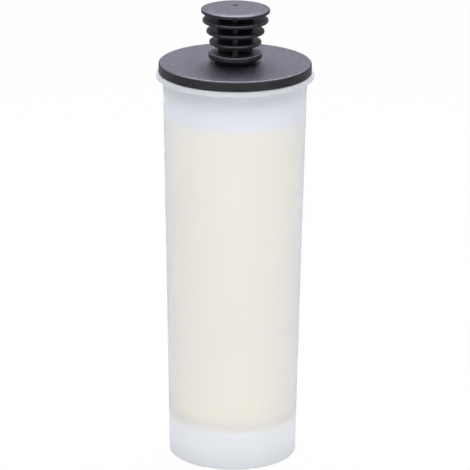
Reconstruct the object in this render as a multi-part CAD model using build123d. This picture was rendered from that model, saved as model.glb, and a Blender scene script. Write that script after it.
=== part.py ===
from build123d import *
import os

# A descaling cartridge for a steam cleaner. A tapered tube holds a bed of granulate between
# two fleeces and two strainers. Water enters through slots round the base, rises through the
# bed and goes back down a riser to the outlet socket. The lid's stacked discs are its grip.
# Sizes are in millimetres. The axis is Z, the foot stands on Z = 0, and one web of the grip
# faces -Y.

# Tube
tube_height = 131.8
foot_radius = 21.2
mouth_radius = 23.75
tube_wall = 1.3
foot_chamfer = 0.4
foot_width = 2.1

# Flange round the mouth
flange_radius = 26.0
flange_thickness = 1.8
flange_edge_radius = 0.75
flange_root_radius = 0.6

# Floor, and the thicker wall below it and up to the lower strainer's seat
floor_height = 2.2
floor_thickness = 1.6
chamber_height = 6.4
seat_width = 0.8

# Inlet slots through the floor
inlet_count = 12
inlet_width = 2.0
inlet_length = 7.6
inlet_margin = 1.6

# Outlet socket in the middle of the floor
outlet_radius = 5.0
outlet_depth = 8.0
outlet_lead_in = 0.4
socket_wall = 1.6
socket_recess = 0.6
shoulder_thickness = 1.4
throat_radius = 3.2
riser_seat_depth = 5.0

# Sealing washer at the inner end of the outlet socket
washer_thickness = 1.6
washer_lip = 0.6

# Riser
riser_wall = 1.0
riser_below_lid = 1.6

# Fleeces round the bed, and the empty space between the upper strainer and the lid
fleece_thickness = 1.2
head_space = 5.2

# Strainers. Only the upper one has a rim
strainer_thickness = 1.4
collar_wall = 1.1
collar_height = 3.6
rim_wall = 1.2
rim_height = 3.4
slot_width = 1.2
slot_bridge = 1.3
lower_slot_counts = (16, 24)
upper_slot_counts = (12, 20, 28)

# Lid
lid_radius = 25.2
lid_thickness = 3.4
lid_edge_radius = 0.6
lid_chamfer = 0.3
lid_plate_thickness = 1.8
relief_width = 1.3
plug_depth = 6.8
plug_wall = 2.5
plug_cone_height = 2.7
plug_cone_width = 1.7
lid_rib_count = 6
lid_rib_thickness = 1.2
lid_rib_depth = 3.0

# Seal ring in the plug's groove
groove_height = 2.2
groove_depth = 1.5
groove_below_mouth = 1.6
seal_chamfer = 0.5

# Foot of the grip: a thick disc on a neck that narrows downwards, cored out from below
grip_foot_radius = 8.85
grip_foot_thickness = 2.1
grip_foot_edge_radius = 0.65
neck_top_radius = 8.0
neck_root_radius = 6.4
neck_height = 1.5
neck_wall = 1.8

# Grip: discs on a core of two crossed webs, listed from the foot upwards
grip_disc_radii = (8.6, 9.55, 10.85, 11.3)
grip_height = 18.4
grip_disc_pitch = 3.66
grip_disc_thickness = 1.15
grip_disc_edge_radius = 0.45
web_span = 11.3
web_thickness = 1.6
web_root_radius = 0.4

# Top disc: flat with a falling brim, and behind its middle the mark where the mould was filled
top_disc_thickness = 1.5
top_disc_edge_radius = 0.3
top_disc_under_radius = 0.2
brim_width = 2.6
brim_drop = 0.45
gate_offset = 2.8
gate_radius = 0.95
gate_depth = 0.3
gate_pip_radius = 0.4
gate_pip_height = 0.15

# Clearances
plug_clearance = 0.15
seal_clearance = 0.05
strainer_clearance = 0.1
riser_clearance = 0.1
bed_clearance = 0.05

# Heights that follow, from the foot upwards
flange_bottom = tube_height - flange_thickness
floor_top = floor_height + floor_thickness
outlet_mouth = socket_recess + outlet_lead_in
washer_bottom = outlet_mouth + outlet_depth
washer_top = washer_bottom + washer_thickness
shoulder_top = washer_top + shoulder_thickness
socket_top = shoulder_top + riser_seat_depth
lower_strainer_bottom = floor_top + chamber_height
lower_fleece_bottom = lower_strainer_bottom + strainer_thickness
bed_bottom = lower_fleece_bottom + fleece_thickness
plug_bottom = tube_height - plug_depth
riser_top = plug_bottom - riser_below_lid
upper_strainer_bottom = plug_bottom - head_space - strainer_thickness
bed_top = upper_strainer_bottom - fleece_thickness
lid_top = tube_height + lid_thickness
lid_underside = lid_top - lid_plate_thickness
neck_top = lid_top + neck_height
grip_foot_top = neck_top + grip_foot_thickness
grip_top = lid_top + grip_height
groove_top = tube_height - groove_below_mouth
groove_bottom = groove_top - groove_height

# Radii that follow
socket_radius = outlet_radius + socket_wall
washer_pocket_radius = outlet_radius + washer_lip
riser_radius = throat_radius + riser_wall
riser_seat_radius = riser_radius + riser_clearance
foot_inner_radius = foot_radius - foot_width
lower_collar_radius = socket_radius + strainer_clearance + collar_wall
upper_collar_radius = riser_radius + strainer_clearance + collar_wall


def tube_radius(height):
    """Outer radius of the tapered tube at a height."""
    return foot_radius + (mouth_radius - foot_radius) * height / tube_height


def bore_radius(height):
    """Radius of the tube's tapered bore at a height."""
    return tube_radius(height) - tube_wall


def plug_radius(height):
    """Outer radius of the lid's plug, which follows the bore."""
    return bore_radius(height) - plug_clearance


def turned(outline):
    """Solid of revolution about Z. Each corner is a radius, a height and its rounding."""
    corners = [(radius, height) for radius, height, _ in outline]
    roundings = [rounding for _, _, rounding in outline]
    profile = FilletPolyline(*corners, radius=roundings, close=True)
    return revolve(Plane.XZ * make_face(profile), Axis.Z)


def spokes(count, inner_radius, outer_radius, width, bottom, top):
    """Straight bars that run outwards, evenly spaced round the axis."""
    length = outer_radius - inner_radius
    bar = Rectangle(length, width)
    bars = Sketch() + PolarLocations((inner_radius + outer_radius) / 2, count) * bar
    return extrude(Plane.XY.offset(bottom) * bars, top - bottom)


def slot_rings(counts, inner_radius, outer_radius, bottom, top):
    """Rings of radial slots between two radii, with one count for each ring from the middle."""
    ring_step = (outer_radius - inner_radius + slot_bridge) / len(counts)
    slots = Part()
    for ring, count in enumerate(counts):
        start = inner_radius + ring * ring_step
        end = start + ring_step - slot_bridge
        slots += spokes(count, start, end, slot_width, bottom, top)
    return slots


def cartridge_tube():
    """Tapered tube with its flange, slotted floor and outlet socket, moulded in one."""
    seat_radius = bore_radius(lower_strainer_bottom)
    body = turned(
        [
            (foot_inner_radius, 0, 0),
            (foot_radius - foot_chamfer, 0, 0),
            (tube_radius(foot_chamfer), foot_chamfer, 0),
            (tube_radius(flange_bottom), flange_bottom, flange_root_radius),
            (flange_radius, flange_bottom, flange_edge_radius),
            (flange_radius, tube_height, flange_edge_radius),
            (bore_radius(tube_height), tube_height, 0),
            (seat_radius, lower_strainer_bottom, 0),
            (seat_radius - seat_width, lower_strainer_bottom, 0),
            (seat_radius - seat_width, floor_top, 0),
            (socket_radius, floor_top, 0),
            (socket_radius, socket_top, 0),
            (riser_seat_radius, socket_top, 0),
            (riser_seat_radius, shoulder_top, 0),
            (throat_radius, shoulder_top, 0),
            (throat_radius, washer_top, 0),
            (washer_pocket_radius, washer_top, 0),
            (washer_pocket_radius, washer_bottom, 0),
            (outlet_radius, washer_bottom, 0),
            (outlet_radius, outlet_mouth, 0),
            (outlet_radius + outlet_lead_in, socket_recess, 0),
            (socket_radius, socket_recess, 0),
            (socket_radius, floor_height, 0),
            (foot_inner_radius, floor_height, 0),
        ]
    )
    slot = SlotOverall(inlet_length, inlet_width)
    slot_middle = foot_inner_radius - inlet_margin - inlet_length / 2
    ring = Sketch() + PolarLocations(slot_middle, inlet_count) * slot
    return body - extrude(ring, lower_strainer_bottom)


def outlet_seal():
    """Flat rubber washer that the appliance's spigot presses on."""
    rim = washer_pocket_radius - seal_clearance
    return turned(
        [
            (throat_radius, washer_bottom, 0),
            (rim, washer_bottom, 0),
            (rim, washer_top, 0),
            (throat_radius, washer_top, 0),
        ]
    )


def riser_tube():
    """Straight tube from the outlet socket to the empty space under the lid."""
    return turned(
        [
            (throat_radius, shoulder_top, 0),
            (riser_radius, shoulder_top, 0),
            (riser_radius, riser_top, 0),
            (throat_radius, riser_top, 0),
        ]
    )


def strainer(bottom, hub_radius, collar_radius, slot_counts):
    """Slotted plate that fills the bore, with a collar round what stands in its middle."""
    edge_radius = bore_radius(bottom) - strainer_clearance
    top = bottom + strainer_thickness
    inner_edge = hub_radius + strainer_clearance
    plate = turned(
        [
            (inner_edge, bottom, 0),
            (edge_radius, bottom, 0),
            (edge_radius, top, 0),
            (collar_radius, top, 0),
            (collar_radius, top + collar_height, 0),
            (inner_edge, top + collar_height, 0),
        ]
    )
    slots_start = collar_radius + slot_bridge
    slots_end = edge_radius - rim_wall - slot_bridge
    return plate - slot_rings(slot_counts, slots_start, slots_end, bottom, top)


def lower_strainer():
    """Plate that carries the bed, on the step of the tube's wall."""
    bottom = lower_strainer_bottom
    return strainer(bottom, socket_radius, lower_collar_radius, lower_slot_counts)


def upper_strainer():
    """Plate that holds the bed down. Its rim grips the tapered bore."""
    bottom = upper_strainer_bottom
    plate = strainer(bottom, riser_radius, upper_collar_radius, upper_slot_counts)
    edge_radius = bore_radius(bottom) - strainer_clearance
    rim_bottom = bottom + strainer_thickness / 2
    rim_top = bottom + strainer_thickness + rim_height
    rim = turned(
        [
            (edge_radius - rim_wall, rim_bottom, 0),
            (edge_radius, rim_bottom, 0),
            (edge_radius, rim_top, 0),
            (edge_radius - rim_wall, rim_top, 0),
        ]
    )
    return plate + rim


def lower_fleece():
    """Ring of fleece between the lower strainer and the bed."""
    inner = lower_collar_radius + bed_clearance
    outer = bore_radius(lower_fleece_bottom) - bed_clearance
    return turned(
        [
            (inner, lower_fleece_bottom, 0),
            (outer, lower_fleece_bottom, 0),
            (outer, bed_bottom, 0),
            (inner, bed_bottom, 0),
        ]
    )


def upper_fleece():
    """Ring of fleece between the bed and the upper strainer."""
    inner = riser_radius + bed_clearance
    outer = bore_radius(bed_top) - bed_clearance
    return turned(
        [
            (inner, bed_top, 0),
            (outer, bed_top, 0),
            (outer, upper_strainer_bottom, 0),
            (inner, upper_strainer_bottom, 0),
        ]
    )


def granulate_bed():
    """The packed granulate as one body, with room for what stands in its middle."""
    collar = lower_collar_radius + bed_clearance
    collar_top = lower_fleece_bottom + collar_height + bed_clearance
    socket = socket_radius + bed_clearance
    riser = riser_radius + bed_clearance
    return turned(
        [
            (collar, bed_bottom, 0),
            (bore_radius(bed_bottom) - bed_clearance, bed_bottom, 0),
            (bore_radius(bed_top) - bed_clearance, bed_top, 0),
            (riser, bed_top, 0),
            (riser, socket_top + bed_clearance, 0),
            (socket, socket_top + bed_clearance, 0),
            (socket, collar_top, 0),
            (collar, collar_top, 0),
        ]
    )


def lid_shell():
    """The lid's disc and neck, with its plug, seal groove and the relief behind its rim."""
    plug_inner = plug_radius(plug_bottom) - plug_wall
    cone_top = plug_bottom + plug_cone_height
    groove_floor = plug_radius(groove_top) - groove_depth
    relief_inner = plug_radius(tube_height)
    core_radius = neck_root_radius - neck_wall
    return turned(
        [
            (0, neck_top, 0),
            (core_radius, neck_top, 0),
            (core_radius, lid_underside, 0),
            (plug_inner, lid_underside, 0),
            (plug_inner, plug_bottom, 0),
            (plug_radius(plug_bottom) - plug_cone_width, plug_bottom, 0),
            (plug_radius(cone_top), cone_top, 0),
            (plug_radius(groove_bottom), groove_bottom, 0),
            (groove_floor, groove_bottom, 0),
            (groove_floor, groove_top, 0),
            (plug_radius(groove_top), groove_top, 0),
            (relief_inner, tube_height, 0),
            (relief_inner, lid_underside, 0),
            (relief_inner + relief_width, lid_underside, 0),
            (relief_inner + relief_width, tube_height, 0),
            (lid_radius - lid_chamfer, tube_height, 0),
            (lid_radius, tube_height + lid_chamfer, 0),
            (lid_radius, lid_top, lid_edge_radius),
            (neck_root_radius, lid_top, 0),
            (neck_top_radius, neck_top, 0),
            (neck_top_radius, grip_foot_top - grip_foot_edge_radius, 0),
            (0, grip_foot_top - grip_foot_edge_radius, 0),
        ]
    )


def lid_ribs():
    """Radial ribs that stiffen the lid from below, between the neck's core and the plug."""
    bottom = lid_underside - lid_rib_depth
    start = neck_root_radius - neck_wall / 2
    reach = plug_radius(plug_bottom) - plug_wall / 2
    return spokes(lid_rib_count, start, reach, lid_rib_thickness, bottom, lid_underside)


def grip_disc(radius, top, thickness, edge_radius):
    """One disc of the grip, rounded at its edge."""
    return turned(
        [
            (0, top - thickness, 0),
            (radius, top - thickness, edge_radius),
            (radius, top, edge_radius),
            (0, top, 0),
        ]
    )


def outermost_corners(section):
    """Corners of a section that lie furthest from the axis, from the lowest to the highest."""
    return section.vertices().group_by(Axis.X)[-1].sort_by(Axis.Y)


def top_disc(radius, top):
    """The uppermost disc, with its falling brim and gate mark."""
    bottom = top - top_disc_thickness
    brim_start = (radius - brim_width, top)
    brim_end = (radius, top - brim_drop)
    rest = Polyline(brim_start, (0, top), (0, bottom), (radius, bottom), brim_end)
    brim = TangentArc(brim_start, brim_end, tangent=(1, 0))
    section = make_face(rest + brim)
    section = fillet(outermost_corners(section)[-1], top_disc_edge_radius)
    section = fillet(outermost_corners(section)[0], top_disc_under_radius)
    disc = revolve(Plane.XZ * section, Axis.Z)
    dimple = Pos(0, gate_offset, top) * Cylinder(gate_radius, 2 * gate_depth)
    pip_outline = Plane.XY.offset(top - 2 * gate_depth) * Pos(0, gate_offset) * Circle(gate_pip_radius)
    return disc - dimple + extrude(pip_outline, gate_depth + gate_pip_height)


def grip_core(bottom, top):
    """Two crossed webs between the grip's foot and its top disc, faired into each other."""
    cross = Rectangle(web_span, web_thickness) + Rectangle(web_thickness, web_span)
    inner_corners = cross.vertices().group_by(lambda corner: Vector(corner).length)[0]
    cross = fillet(inner_corners, web_root_radius)
    return extrude(Plane.XY.offset(bottom) * cross, top - bottom)


def grip():
    """Foot, crossed webs and four discs."""
    *lower_radii, top_radius = grip_disc_radii
    solid = grip_core(grip_foot_top - grip_foot_thickness / 2, grip_top - top_disc_thickness / 2)
    solid += grip_disc(grip_foot_radius, grip_foot_top, grip_foot_thickness, grip_foot_edge_radius)
    for level, radius in enumerate(reversed(lower_radii), start=1):
        top = grip_top - level * grip_disc_pitch
        solid += grip_disc(radius, top, grip_disc_thickness, grip_disc_edge_radius)
    return solid + top_disc(top_radius, grip_top)


def grip_lid():
    """Lid and grip, moulded in one."""
    return lid_shell() + lid_ribs() + grip()


def lid_seal_ring():
    """Rubber ring in the plug's groove, pressed into its shape by the bore."""
    inner = plug_radius(groove_top) - groove_depth + seal_clearance
    bottom = groove_bottom + seal_clearance
    top = groove_top - seal_clearance
    outer = bore_radius(groove_bottom) - seal_clearance
    return turned(
        [
            (inner, bottom, 0),
            (outer - seal_chamfer, bottom, 0),
            (outer, bottom + seal_chamfer, 0),
            (outer, top - seal_chamfer, 0),
            (outer - seal_chamfer, top, 0),
            (inner, top, 0),
        ]
    )


sub_parts = {
    "cartridge_tube": cartridge_tube,
    "outlet_seal": outlet_seal,
    "riser_tube": riser_tube,
    "lower_strainer": lower_strainer,
    "lower_fleece": lower_fleece,
    "granulate_bed": granulate_bed,
    "upper_fleece": upper_fleece,
    "upper_strainer": upper_strainer,
    "lid_seal_ring": lid_seal_ring,
    "grip_lid": grip_lid,
}

os.makedirs("parts", exist_ok=True)
for name, make in sub_parts.items():
    export_step(make(), f"parts/{name}.step")
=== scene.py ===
import math

import bmesh
import bpy
from mathutils import Matrix, Vector

# The descaling cartridge in its studio: a milky tube of cream granulate under a black lid.
# The solids stand as they were modelled. This file gives them their finishes, and adds the
# ground, the lamps, the surroundings and the camera. Lengths are in metres, angles in degrees.

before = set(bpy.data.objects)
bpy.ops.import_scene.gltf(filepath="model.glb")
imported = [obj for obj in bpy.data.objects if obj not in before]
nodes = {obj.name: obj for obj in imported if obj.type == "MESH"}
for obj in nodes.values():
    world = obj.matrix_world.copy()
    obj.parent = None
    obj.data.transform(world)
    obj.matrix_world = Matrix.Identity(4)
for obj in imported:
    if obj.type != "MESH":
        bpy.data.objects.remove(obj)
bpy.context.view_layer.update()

MM = 0.001

# Camera, solved from the outlines in the photograph
CAMERA_BACK = 1.19394
CAMERA_HEIGHT = 0.45529
CAMERA_PITCH = 17.644
CAMERA_ROLL = 0.4156
CAMERA_LENS_MM = 288.08
CAMERA_SHIFT = 0.00222
SENSOR_MM = 36.0

# Milky wall: how much light passes where it is thin and where it is thick, and its tints. Two of the
# tints are painted light: a lighter tint low down that stands in for light near the ground, and a
# cream tint that is the bed's light painted onto the wall
THIN_WALL_CLEAR = 0.76
THICK_WALL_CLEAR = 0.16
THIN_WALL_TINT = (0.945, 0.965, 0.99)
THIN_WALL_TINT_LIGHT = (0.96, 0.975, 0.995)
# Painted light: the thin wall is painted lighter low down, to make up for the shade near the ground
THIN_WALL_PAINTED_LIGHT_LOW = (0.972, 0.985, 1.0)
THICK_WALL_TINT = (0.93, 0.965, 1.0)
# Painted light: the bed's cream glow, scattered into the wall, painted onto the thick wall where the
# bed stands behind it
THICK_WALL_PAINTED_BED_GLOW = (1.0, 0.985, 0.955)

# Heights between which the wall's look changes, in millimetres above the ground
# Heights over which the painted lightening near the ground fades in
LOW_PAINTED_LIGHT_SPAN = (45.0, 20.0)
# The bed's foot and head: between them the bed's glow is painted onto the thick wall
BED_FOOT_SPAN = (10.0, 15.0)
BED_HEAD_SPAN = (110.0, 100.0)
STEP_SPAN = (11.5, 17.0)
FOOT_SPAN = (9.0, 1.0)
PLUG_SPAN = (117.0, 125.0)
FLANGE_ROOT_SPAN = (124.0, 128.0)
FLANGE_SPAN = (130.2, 128.8)

# Shares of thin wall at the foot and at the flange, and the share that the lid's plug takes away
FOOT_SHARE = 0.12
PLUG_SHARE = 0.56
FLANGE_SHARE = 0.24

# Surroundings: the plain light, and what gloss mirrors in front, behind and overhead. The pairs
# say where each sets in, by how far a direction points up or away from the camera.
WORLD_LIGHT = 0.55
GLOSS_FRONT = 0.4
GLOSS_BACK = 0.7
GLOSS_BACK_AWAY = (0.1, 0.8)
GLOSS_TINT = (0.95, 0.925, 1.13)
BACK_CEILING = 19.0
BACK_CEILING_UP = (0.65, 0.82)
BACK_CEILING_AWAY = (-0.05, 0.35)
FRONT_CEILING = 7.0
FRONT_CEILING_UP = (0.38, 0.65)
FRONT_CEILING_AWAY = (-0.1, -0.4)

# Ground
FLOOR_SIZE = 3.0
FLOOR_COLOUR = (0.95, 0.95, 0.95)
FLOOR_MIRRORED = (0.66, 0.66, 0.66)
FLOOR_LESS_GREY = 0.35
FLOOR_LIFT = 0.94

# Point that the lamps aim at
LAMP_TARGET = (0.0, 0.0, 0.08)


class Tone:
    """A number that varies over a surface, for use in plain sums."""

    def __init__(self, sheet, socket):
        self.sheet = sheet
        self.socket = socket

    def _work_out(self, operation, first, second):
        made = self.sheet.add("ShaderNodeMath", {"operation": operation}, {0: first, 1: second})
        return Tone(self.sheet, made.outputs[0])

    def __add__(self, other):
        return self._work_out("ADD", self, other)

    def __radd__(self, other):
        return self._work_out("ADD", other, self)

    def __sub__(self, other):
        return self._work_out("SUBTRACT", self, other)

    def __rsub__(self, other):
        return self._work_out("SUBTRACT", other, self)

    def __mul__(self, other):
        return self._work_out("MULTIPLY", self, other)

    def __rmul__(self, other):
        return self._work_out("MULTIPLY", other, self)

    def clipped(self):
        """The same number, kept between 0 and 1."""
        made = self.sheet.add("ShaderNodeClamp", {}, {"Value": self})
        return Tone(self.sheet, made.outputs[0])


class Sheet:
    """The node sheet of one material or of the world."""

    def __init__(self, owner):
        owner.use_nodes = True
        self.tree = owner.node_tree
        self.tree.nodes.clear()

    def add(self, kind, settings=None, inputs=None):
        """One node: its settings first, then values or links for its sockets."""
        made = self.tree.nodes.new(kind)
        for name, value in (settings or {}).items():
            setattr(made, name, value)
        for name, value in (inputs or {}).items():
            socket = made.inputs[name]
            if isinstance(value, Tone):
                self.tree.links.new(value.socket, socket)
            elif isinstance(value, bpy.types.NodeSocket):
                self.tree.links.new(value, socket)
            else:
                socket.default_value = value
        return made

    def place(self):
        """The point on the piece, in metres."""
        return self.add("ShaderNodeTexCoord").outputs["Object"]

    def height(self):
        """Height of the point on the piece, in metres."""
        split = self.add("ShaderNodeSeparateXYZ", {}, {"Vector": self.place()})
        return Tone(self, split.outputs["Z"])

    def noise(self, scale, detail=2.0, roughness=0.5):
        """Soft random mottle, from 0 to 1."""
        made = self.add(
            "ShaderNodeTexNoise",
            {},
            {"Vector": self.place(), "Scale": scale, "Detail": detail, "Roughness": roughness},
        )
        return Tone(self, made.outputs["Fac"])

    def beads(self, scale):
        """Distance to the nearest of many scattered points."""
        made = self.add("ShaderNodeTexVoronoi", {}, {"Vector": self.place(), "Scale": scale})
        return Tone(self, made.outputs["Distance"])

    def ease(self, value, start, end):
        """Goes smoothly from 0 at start to 1 at end. The end may be the lower of the two."""
        made = self.add(
            "ShaderNodeMapRange",
            {"interpolation_type": "SMOOTHSTEP"},
            {"Value": value, "From Min": start, "From Max": end},
        )
        return Tone(self, made.outputs["Result"])

    def blend(self, share, first, second):
        """Colour that goes from first to second."""
        made = self.add(
            "ShaderNodeMix", {"data_type": "RGBA"}, {0: share, 6: first, 7: second}
        )
        return made.outputs[2]

    def bump(self, height, strength, depth):
        """A normal from a height pattern. depth is in metres."""
        made = self.add(
            "ShaderNodeBump", {}, {"Height": height, "Strength": strength, "Distance": depth}
        )
        return made.outputs["Normal"]

    def plastic(self, **inputs):
        """The shader of a plastic, rubber or fibre."""
        named = {name.replace("_", " "): value for name, value in inputs.items()}
        return self.add("ShaderNodeBsdfPrincipled", {}, named).outputs[0]

    def mix(self, share, first, second):
        """Shader that goes from first to second."""
        made = self.add("ShaderNodeMixShader", {}, {0: share, 1: first, 2: second})
        return made.outputs[0]

    def finish(self, shader):
        """Ends a material's sheet in a shader."""
        self.add("ShaderNodeOutputMaterial", {}, {"Surface": shader})


def colour(red, green, blue):
    """A colour with full cover."""
    return (red, green, blue, 1.0)


def dress(node_name, material):
    """Gives a CAD piece its finish."""
    mesh = nodes[node_name].data
    mesh.materials.clear()
    mesh.materials.append(material)


def black_satin():
    """Black moulded plastic with a fine spark-eroded grain."""
    material = bpy.data.materials.new("black_satin")
    sheet = Sheet(material)
    grain = sheet.noise(scale=1300.0, detail=3.0, roughness=0.75)
    speck = sheet.ease(grain, 0.35, 0.65)
    cloud = sheet.noise(scale=90.0, detail=3.0)
    shader = sheet.plastic(
        Base_Color=sheet.blend(speck, colour(0.001, 0.001, 0.0012), colour(0.012, 0.0115, 0.0135)),
        Roughness=0.34 + 0.04 * cloud + 0.2 * speck,
        IOR=1.45,
        Normal=sheet.bump(grain, 0.6, 0.05 * MM),
    )
    sheet.finish(shader)
    return material


def milky_wall():
    """Undyed translucent plastic, milky and slightly blue. It clears less light where it is thick. It
    is painted lighter near the ground, and painted cream with the bed's scattered light where the bed
    stands behind it.
    """
    material = bpy.data.materials.new("milky_wall")
    sheet = Sheet(material)
    height = sheet.height()

    def rising(span):
        return sheet.ease(height, span[0] * MM, span[1] * MM)

    cloud = sheet.noise(scale=60.0, detail=2.0)
    rough = 0.5 + 0.06 * cloud

    clouded_tint = sheet.blend(cloud, colour(*THIN_WALL_TINT), colour(*THIN_WALL_TINT_LIGHT))
    # Painted light: lighter low down, to make up for the shade near the ground
    thin_tint_with_painted_light = sheet.blend(rising(LOW_PAINTED_LIGHT_SPAN), clouded_tint, colour(*THIN_WALL_PAINTED_LIGHT_LOW))
    # Painted light: the bed's glow painted onto the thick wall where the bed stands behind it
    painted_bed_glow = rising(BED_FOOT_SPAN) * rising(BED_HEAD_SPAN)
    thick_tint_with_painted_glow = sheet.blend(painted_bed_glow, colour(*THICK_WALL_TINT), colour(*THICK_WALL_PAINTED_BED_GLOW))
    thin = sheet.plastic(
        Base_Color=thin_tint_with_painted_light, Roughness=rough, IOR=1.15, Transmission_Weight=THIN_WALL_CLEAR
    )
    thick = sheet.plastic(
        Base_Color=thick_tint_with_painted_glow, Roughness=rough, IOR=1.15, Transmission_Weight=THICK_WALL_CLEAR
    )

    above_step = rising(STEP_SPAN) + FOOT_SHARE * rising(FOOT_SPAN)
    below_plug = 1 - PLUG_SHARE * rising(PLUG_SPAN)
    at_flange = FLANGE_SHARE * rising(FLANGE_ROOT_SPAN) * rising(FLANGE_SPAN)
    sheet.finish(sheet.mix(above_step * (below_plug + at_flange), thick, thin))
    return material


def granulate():
    """Cream beads, packed and damp."""
    material = bpy.data.materials.new("granulate")
    sheet = Sheet(material)
    cloud = sheet.noise(scale=140.0, detail=3.0)
    shader = sheet.plastic(
        Base_Color=sheet.blend(cloud, colour(0.90, 0.81, 0.55), colour(0.92, 0.84, 0.60)),
        Roughness=0.5,
        Normal=sheet.bump(1 - sheet.beads(scale=1600.0), 0.5, 0.2 * MM),
    )
    sheet.finish(shader)
    return material


def fleece():
    """Matted white fibre."""
    material = bpy.data.materials.new("fleece")
    sheet = Sheet(material)
    fibre = sheet.noise(scale=2600.0, detail=4.0, roughness=0.7)
    shader = sheet.plastic(
        Base_Color=sheet.blend(fibre, colour(0.82, 0.82, 0.80), colour(0.93, 0.93, 0.91)),
        Roughness=0.9,
        Sheen_Weight=0.3,
        Normal=sheet.bump(fibre, 0.8, 0.15 * MM),
    )
    sheet.finish(shader)
    return material


def undyed_plastic():
    """Opaque moulded plastic of the inner pieces, in its natural white."""
    material = bpy.data.materials.new("undyed_plastic")
    sheet = Sheet(material)
    cloud = sheet.noise(scale=120.0, detail=2.0)
    shader = sheet.plastic(
        Base_Color=sheet.blend(cloud, colour(0.83, 0.83, 0.80), colour(0.89, 0.885, 0.85)),
        Roughness=0.38 + 0.08 * cloud,
        Normal=sheet.bump(sheet.noise(scale=4000.0), 0.2, 0.02 * MM),
    )
    sheet.finish(shader)
    return material


def seal_rubber():
    """Matt black rubber."""
    material = bpy.data.materials.new("seal_rubber")
    sheet = Sheet(material)
    dust = sheet.noise(scale=900.0, detail=3.0)
    shader = sheet.plastic(
        Base_Color=sheet.blend(dust, colour(0.018, 0.018, 0.018), colour(0.032, 0.032, 0.033)),
        Roughness=0.62 + 0.12 * dust,
        Normal=sheet.bump(dust, 0.3, 0.02 * MM),
    )
    sheet.finish(shader)
    return material


def white_ground():
    """Ground that looks white to the camera and keeps a soft shadow.

    Gloss mirrors it greyer. Through the milky wall it is a little less grey than in gloss.
    """
    material = bpy.data.materials.new("white_ground")
    sheet = Sheet(material)
    ray = sheet.add("ShaderNodeLightPath")
    mirrored = Tone(sheet, ray.outputs["Is Glossy Ray"])
    seen = Tone(sheet, ray.outputs["Is Camera Ray"])
    through = Tone(sheet, ray.outputs["Is Transmission Ray"])
    greyed = mirrored * (1 - FLOOR_LESS_GREY * through)
    tint = sheet.blend(greyed, colour(*FLOOR_COLOUR), colour(*FLOOR_MIRRORED))
    matt = sheet.add("ShaderNodeBsdfDiffuse", {}, {"Color": tint})
    white = sheet.add("ShaderNodeEmission", {}, {"Color": colour(1, 1, 1), "Strength": 1.0})
    sheet.finish(sheet.mix(seen * FLOOR_LIFT, matt.outputs[0], white.outputs[0]))
    return material


def make_floor():
    """The ground that the cartridge stands on."""
    bm = bmesh.new()
    bmesh.ops.create_grid(bm, x_segments=1, y_segments=1, size=FLOOR_SIZE / 2)
    mesh = bpy.data.meshes.new("ground")
    bm.to_mesh(mesh)
    bm.free()
    mesh.materials.append(white_ground())
    ground = bpy.data.objects.new("ground", mesh)
    bpy.context.scene.collection.objects.link(ground)


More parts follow.
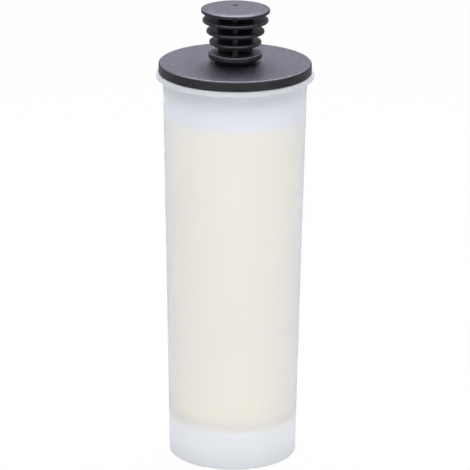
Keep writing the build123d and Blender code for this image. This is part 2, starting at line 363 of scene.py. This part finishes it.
def make_world():
    """White surroundings.

    Gloss mirrors a dim room, with a bright ceiling behind and a weaker one in front. Rays that
    left through the milky wall count as gloss too, so the ceilings are kept from those.
    """
    world = bpy.data.worlds.new("studio")
    bpy.context.scene.world = world
    sheet = Sheet(world)
    ray = sheet.add("ShaderNodeLightPath")
    seen = Tone(sheet, ray.outputs["Is Camera Ray"])
    mirrored = Tone(sheet, ray.outputs["Is Glossy Ray"])
    through = Tone(sheet, ray.outputs["Is Transmission Ray"])
    direction = sheet.add("ShaderNodeTexCoord").outputs["Generated"]
    split = sheet.add("ShaderNodeSeparateXYZ", {}, {"Vector": direction})
    away, up = Tone(sheet, split.outputs["Y"]), Tone(sheet, split.outputs["Z"])
    behind = sheet.ease(away, *GLOSS_BACK_AWAY)
    back_ceiling = sheet.ease(up, *BACK_CEILING_UP) * sheet.ease(away, *BACK_CEILING_AWAY)
    front_ceiling = sheet.ease(up, *FRONT_CEILING_UP) * sheet.ease(away, *FRONT_CEILING_AWAY)
    overhead = BACK_CEILING * back_ceiling + FRONT_CEILING * front_ceiling
    gloss = GLOSS_FRONT + behind * (GLOSS_BACK - GLOSS_FRONT) + overhead * (1 - through)
    plain = (seen + through).clipped()
    other = 1 - (plain + mirrored).clipped()
    strength = plain + mirrored * gloss + WORLD_LIGHT * other
    tint = sheet.blend(mirrored, colour(1, 1, 1), colour(*GLOSS_TINT))
    background = sheet.add("ShaderNodeBackground", {}, {"Color": tint, "Strength": strength})
    sheet.add("ShaderNodeOutputWorld", {}, {"Surface": background.outputs[0]})


def softbox(name, place, width, height, power):
    """One rectangular lamp, aimed at the middle of the cartridge."""
    lamp = bpy.data.lights.new(name, "AREA")
    lamp.shape = "RECTANGLE"
    lamp.size = width
    lamp.size_y = height
    lamp.energy = power
    holder = bpy.data.objects.new(name, lamp)
    aim = Vector(LAMP_TARGET) - Vector(place)
    turn = aim.to_track_quat("-Z", "Y").to_matrix().to_4x4()
    holder.matrix_world = Matrix.Translation(place) @ turn
    bpy.context.scene.collection.objects.link(holder)


def make_lamps():
    """A large lamp overhead, and one on each side of the camera."""
    softbox("overhead", (0.0, 0.27, 0.75), 0.7, 0.4, 2.9)
    softbox("left", (-0.68, -0.88, 0.34), 0.5, 0.5, 2.5)
    softbox("right", (0.68, -0.88, 0.34), 0.5, 0.5, 2.7)


def make_camera():
    """The camera at the photograph's place and angle."""
    data = bpy.data.cameras.new("camera")
    data.sensor_width = SENSOR_MM
    data.lens = CAMERA_LENS_MM
    data.shift_x = CAMERA_SHIFT
    data.clip_start = 0.05
    camera = bpy.data.objects.new("camera", data)
    camera.matrix_world = (
        Matrix.Translation((0.0, -CAMERA_BACK, CAMERA_HEIGHT))
        @ Matrix.Rotation(math.radians(90.0 - CAMERA_PITCH), 4, "X")
        @ Matrix.Rotation(math.radians(CAMERA_ROLL), 4, "Z")
    )
    bpy.context.scene.collection.objects.link(camera)
    bpy.context.scene.camera = camera


make_camera()
make_world()
make_floor()
make_lamps()

dress("grip_lid", black_satin())
dress("cartridge_tube", milky_wall())
dress("granulate_bed", granulate())
natural = undyed_plastic()
for inner in ("riser_tube", "lower_strainer", "upper_strainer"):
    dress(inner, natural)
white_fibre = fleece()
for layer in ("lower_fleece", "upper_fleece"):
    dress(layer, white_fibre)
rubber = seal_rubber()
for seal in ("outlet_seal", "lid_seal_ring"):
    dress(seal, rubber)

bpy.context.scene.view_settings.view_transform = "Standard"
